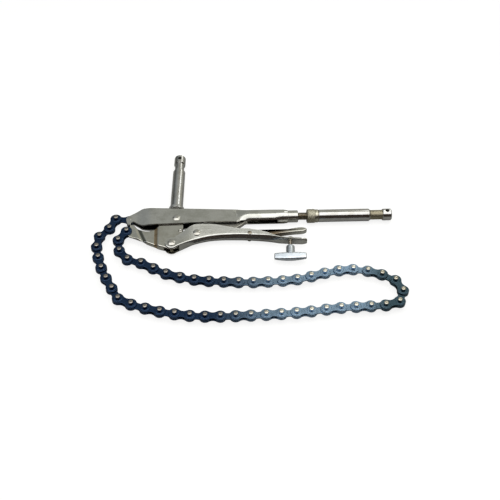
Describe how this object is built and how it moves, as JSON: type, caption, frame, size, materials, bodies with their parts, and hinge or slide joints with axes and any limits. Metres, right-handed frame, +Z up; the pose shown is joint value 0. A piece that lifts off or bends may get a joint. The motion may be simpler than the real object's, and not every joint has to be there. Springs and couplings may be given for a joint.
{
  "type": "chain clamp",
  "caption": "Locking plier that pulls a long plate-link chain tight round a pipe, with round mounting studs and a T-handled safety screw.",
  "frame": {"origin": "centre of the bounding box in plan, on the surface that the clamp lies on", "axes": "+X along the tube towards the rear stud, +Y along the plates towards the upright stud, +Z up, square to the side plates"},
  "size_m": [0.3792, 0.2792, 0.018],
  "materials": {
    "nickel_sheet": "nickel plated, brushed",
    "bright_steel": "turned and plated",
    "plain_steel": "plain steel",
    "zinc": "zinc plated",
    "blued_steel": "blued, oiled"
  },
  "bodies": {
    "frame": {"upper_handle": "nickel_sheet", "screw_bush": "nickel_sheet", "top_stud": "bright_steel", "stud_base": "bright_steel", "spring_post": "plain_steel", "chain_anchor_pin": "nickel_sheet", "jaw_rivet": "bright_steel", "tension_spring": "plain_steel"},
    "jaw_body": {"jaw": "nickel_sheet", "handle_rivet": "bright_steel"},
    "hand_lever": {"lower_handle": "nickel_sheet", "link_rivet": "bright_steel", "release_rivet": "plain_steel", "lock_nut": "plain_steel"},
    "link_body": {"toggle_link": "bright_steel"},
    "release_body": {"release_lever": "bright_steel"},
    "adjuster": {"adjusting_screw": "plain_steel", "rear_stud": "bright_steel"},
    "collar": {"lock_collar": "plain_steel"},
    "safety_screw": {"lock_screw": "plain_steel", "lock_knob": "zinc"},
    "chain_01": {"chain_link_01": "blued_steel"},
    "chain_02": {"chain_link_02": "blued_steel"},
    "chain_03": {"chain_link_03": "blued_steel"},
    "chain_04": {"chain_link_04": "blued_steel"},
    "chain_05": {"chain_link_05": "blued_steel"},
    "chain_06": {"chain_link_06": "blued_steel"},
    "chain_07": {"chain_link_07": "blued_steel"},
    "chain_08": {"chain_link_08": "blued_steel"},
    "chain_09": {"chain_link_09": "blued_steel"},
    "chain_10": {"chain_link_10": "blued_steel"},
    "chain_11": {"chain_link_11": "blued_steel"},
    "chain_12": {"chain_link_12": "blued_steel"},
    "chain_13": {"chain_link_13": "blued_steel"},
    "chain_14": {"chain_link_14": "blued_steel"},
    "chain_15": {"chain_link_15": "blued_steel"},
    "chain_16": {"chain_link_16": "blued_steel"},
    "chain_17": {"chain_link_17": "blued_steel"},
    "chain_18": {"chain_link_18": "blued_steel"},
    "chain_19": {"chain_link_19": "blued_steel"},
    "chain_20": {"chain_link_20": "blued_steel"},
    "chain_21": {"chain_link_21": "blued_steel"},
    "chain_22": {"chain_link_22": "blued_steel"},
    "chain_23": {"chain_link_23": "blued_steel"},
    "chain_24": {"chain_link_24": "blued_steel"},
    "chain_25": {"chain_link_25": "blued_steel"},
    "chain_26": {"chain_link_26": "blued_steel"}
  },
  "joints": [
    {"name": "adjuster_travel", "type": "slide", "parent": "frame", "child": "adjuster", "axis": [1, 0, 0], "range_m": [0, 0.008]},
    {"name": "collar_turn", "type": "hinge", "parent": "adjuster", "child": "collar", "pos_m": [0.01475, 0.02583, 0.009], "axis": [1, 0, 0], "continuous": true},
    {"name": "handle_swing", "type": "hinge", "parent": "jaw_body", "child": "hand_lever", "pos_m": [-0.09112, -0.02117, 0.009], "axis": [0, 0, 1], "range_deg": [-38, 0]},
    {"name": "jaw_swing", "type": "hinge", "parent": "frame", "child": "jaw_body", "pos_m": [-0.08522, 0.02082, 0.009], "axis": [0, 0, 1], "range_deg": [0, 7.2], "deforming": ["tension_spring"]},
    {"name": "release_press", "type": "hinge", "parent": "hand_lever", "child": "release_body", "pos_m": [0.00567, -0.00697, 0.009], "axis": [0, 0, 1], "range_deg": [-6.5, 0]},
    {"name": "safety_travel", "type": "slide", "parent": "hand_lever", "child": "safety_screw", "axis": [0.0732, 0.9973, 0], "range_m": [0, 0.0055]},
    {"name": "toggle_swing", "type": "hinge", "parent": "hand_lever", "child": "link_body", "pos_m": [-0.05994, -0.00508, 0.009], "axis": [0, 0, 1], "range_deg": [0, 46]},
    {"name": "wrap_hinge_01", "type": "hinge", "parent": "frame", "child": "chain_01", "pos_m": [-0.14375, 0.02472, 0.009], "axis": [0, 0, 1], "range_deg": [-21, 0]},
    {"name": "wrap_hinge_02", "type": "hinge", "parent": "chain_01", "child": "chain_02", "pos_m": [-0.1686, 0.0099, 0.009], "axis": [0, 0, 1], "range_deg": [-1.46, 1.46]},
    {"name": "wrap_hinge_03", "type": "hinge", "parent": "chain_02", "child": "chain_03", "pos_m": [-0.18252, -0.02078, 0.009], "axis": [0, 0, 1], "range_deg": [-6.45, 6.45]},
    {"name": "wrap_hinge_04", "type": "hinge", "parent": "chain_03", "child": "chain_04", "pos_m": [-0.17486, -0.05509, 0.009], "axis": [0, 0, 1], "range_deg": [-9, 9]},
    {"name": "wrap_hinge_05", "type": "hinge", "parent": "chain_04", "child": "chain_05", "pos_m": [-0.16062, -0.08726, 0.009], "axis": [0, 0, 1], "range_deg": [-4.12, 4.12]},
    {"name": "wrap_hinge_06", "type": "hinge", "parent": "chain_05", "child": "chain_06", "pos_m": [-0.13726, -0.11152, 0.009], "axis": [0, 0, 1], "range_deg": [-3.13, 3.13]},
    {"name": "wrap_hinge_07", "type": "hinge", "parent": "chain_06", "child": "chain_07", "pos_m": [-0.10406, -0.12317, 0.009], "axis": [0, 0, 1], "range_deg": [-9, 9]},
    {"name": "wrap_hinge_08", "type": "hinge", "parent": "chain_07", "child": "chain_08", "pos_m": [-0.0696, -0.13022, 0.009], "axis": [0, 0, 1], "range_deg": [-9.06, 9.06]},
    {"name": "wrap_hinge_09", "type": "hinge", "parent": "chain_08", "child": "chain_09", "pos_m": [-0.03449, -0.13248, 0.009], "axis": [0, 0, 1], "range_deg": [-3.09, 3.09]},
    {"name": "wrap_hinge_10", "type": "hinge", "parent": "chain_09", "child": "chain_10", "pos_m": [0.00071, -0.1321, 0.009], "axis": [0, 0, 1], "range_deg": [-2.89, 2.89]},
    {"name": "wrap_hinge_11", "type": "hinge", "parent": "chain_10", "child": "chain_11", "pos_m": [0.03589, -0.13099, 0.009], "axis": [0, 0, 1], "range_deg": [-8.79, 8.79]},
    {"name": "wrap_hinge_12", "type": "hinge", "parent": "chain_11", "child": "chain_12", "pos_m": [0.07099, -0.12838, 0.009], "axis": [0, 0, 1], "range_deg": [-9, 9]},
    {"name": "wrap_hinge_13", "type": "hinge", "parent": "chain_12", "child": "chain_13", "pos_m": [0.10597, -0.12444, 0.009], "axis": [0, 0, 1], "range_deg": [-3.21, 3.21]},
    {"name": "wrap_hinge_14", "type": "hinge", "parent": "chain_13", "child": "chain_14", "pos_m": [0.14114, -0.12325, 0.009], "axis": [0, 0, 1], "range_deg": [-5.09, 5.09]},
    {"name": "wrap_hinge_15", "type": "hinge", "parent": "chain_14", "child": "chain_15", "pos_m": [0.17575, -0.11801, 0.009], "axis": [0, 0, 1], "range_deg": [-8.59, 8.59]},
    {"name": "wrap_hinge_16", "type": "hinge", "parent": "chain_15", "child": "chain_16", "pos_m": [0.17614, -0.08535, 0.009], "axis": [0, 0, 1], "range_deg": [-9, 9]},
    {"name": "wrap_hinge_17", "type": "hinge", "parent": "chain_16", "child": "chain_17", "pos_m": [0.14502, -0.0694, 0.009], "axis": [0, 0, 1], "range_deg": [-5.61, 5.61]},
    {"name": "wrap_hinge_18", "type": "hinge", "parent": "chain_17", "child": "chain_18", "pos_m": [0.11015, -0.0675, 0.009], "axis": [0, 0, 1], "range_deg": [-4.6, 4.6]},
    {"name": "wrap_hinge_19", "type": "hinge", "parent": "chain_18", "child": "chain_19", "pos_m": [0.07593, -0.07564, 0.009], "axis": [0, 0, 1], "range_deg": [-9, 9]},
    {"name": "wrap_hinge_20", "type": "hinge", "parent": "chain_19", "child": "chain_20", "pos_m": [0.0413, -0.08145, 0.009], "axis": [0, 0, 1], "range_deg": [-4.6, 4.6]},
    {"name": "wrap_hinge_21", "type": "hinge", "parent": "chain_20", "child": "chain_21", "pos_m": [0.00612, -0.0826, 0.009], "axis": [0, 0, 1], "range_deg": [-4.6, 4.6]},
    {"name": "wrap_hinge_22", "type": "hinge", "parent": "chain_21", "child": "chain_22", "pos_m": [-0.02902, -0.08065, 0.009], "axis": [0, 0, 1], "range_deg": [-9, 9]},
    {"name": "wrap_hinge_23", "type": "hinge", "parent": "chain_22", "child": "chain_23", "pos_m": [-0.06395, -0.0765, 0.009], "axis": [0, 0, 1], "range_deg": [-4.6, 4.6]},
    {"name": "wrap_hinge_24", "type": "hinge", "parent": "chain_23", "child": "chain_24", "pos_m": [-0.09754, -0.06613, 0.009], "axis": [0, 0, 1], "range_deg": [-4.5, 4.5]},
    {"name": "wrap_hinge_25", "type": "hinge", "parent": "chain_24", "child": "chain_25", "pos_m": [-0.12788, -0.04827, 0.009], "axis": [0, 0, 1], "range_deg": [-9, 9]},
    {"name": "wrap_hinge_26", "type": "hinge", "parent": "chain_25", "child": "chain_26", "pos_m": [-0.15473, -0.02788, 0.009], "axis": [0, 0, 1], "range_deg": [-4.7, 4.7]}
  ],
  "couplings": [
    {"joint": "jaw_swing", "follows": "handle_swing", "ratio": -0.1876},
    {"joint": "toggle_swing", "follows": "handle_swing", "ratio": -1.2068},
    {"joint": "wrap_hinge_01", "follows": "handle_swing", "ratio": 0.547},
    {"joint": "wrap_hinge_02", "follows": "wrap_hinge_04", "ratio": 0.15141},
    {"joint": "wrap_hinge_03", "follows": "wrap_hinge_04", "ratio": -0.70527},
    {"joint": "wrap_hinge_05", "follows": "wrap_hinge_04", "ratio": -0.44614},
    {"joint": "wrap_hinge_06", "follows": "wrap_hinge_07", "ratio": -0.33695},
    {"joint": "wrap_hinge_08", "follows": "wrap_hinge_07", "ratio": -0.99541},
    {"joint": "wrap_hinge_09", "follows": "wrap_hinge_07", "ratio": 0.33235},
    {"joint": "wrap_hinge_10", "follows": "wrap_hinge_12", "ratio": 0.31041},
    {"joint": "wrap_hinge_11", "follows": "wrap_hinge_12", "ratio": -0.96539},
    {"joint": "wrap_hinge_13", "follows": "wrap_hinge_12", "ratio": -0.34501},
    {"joint": "wrap_hinge_14", "follows": "wrap_hinge_16", "ratio": 0.5549},
    {"joint": "wrap_hinge_15", "follows": "wrap_hinge_16", "ratio": -0.94283},
    {"joint": "wrap_hinge_17", "follows": "wrap_hinge_16", "ratio": -0.61207},
    {"joint": "wrap_hinge_18", "follows": "wrap_hinge_19", "ratio": -0.49962},
    {"joint": "wrap_hinge_20", "follows": "wrap_hinge_19", "ratio": -0.50038},
    {"joint": "wrap_hinge_21", "follows": "wrap_hinge_22", "ratio": -0.49995},
    {"joint": "wrap_hinge_23", "follows": "wrap_hinge_22", "ratio": -0.50005},
    {"joint": "wrap_hinge_24", "follows": "wrap_hinge_25", "ratio": -0.48925},
    {"joint": "wrap_hinge_26", "follows": "wrap_hinge_25", "ratio": -0.51075}
  ]
}
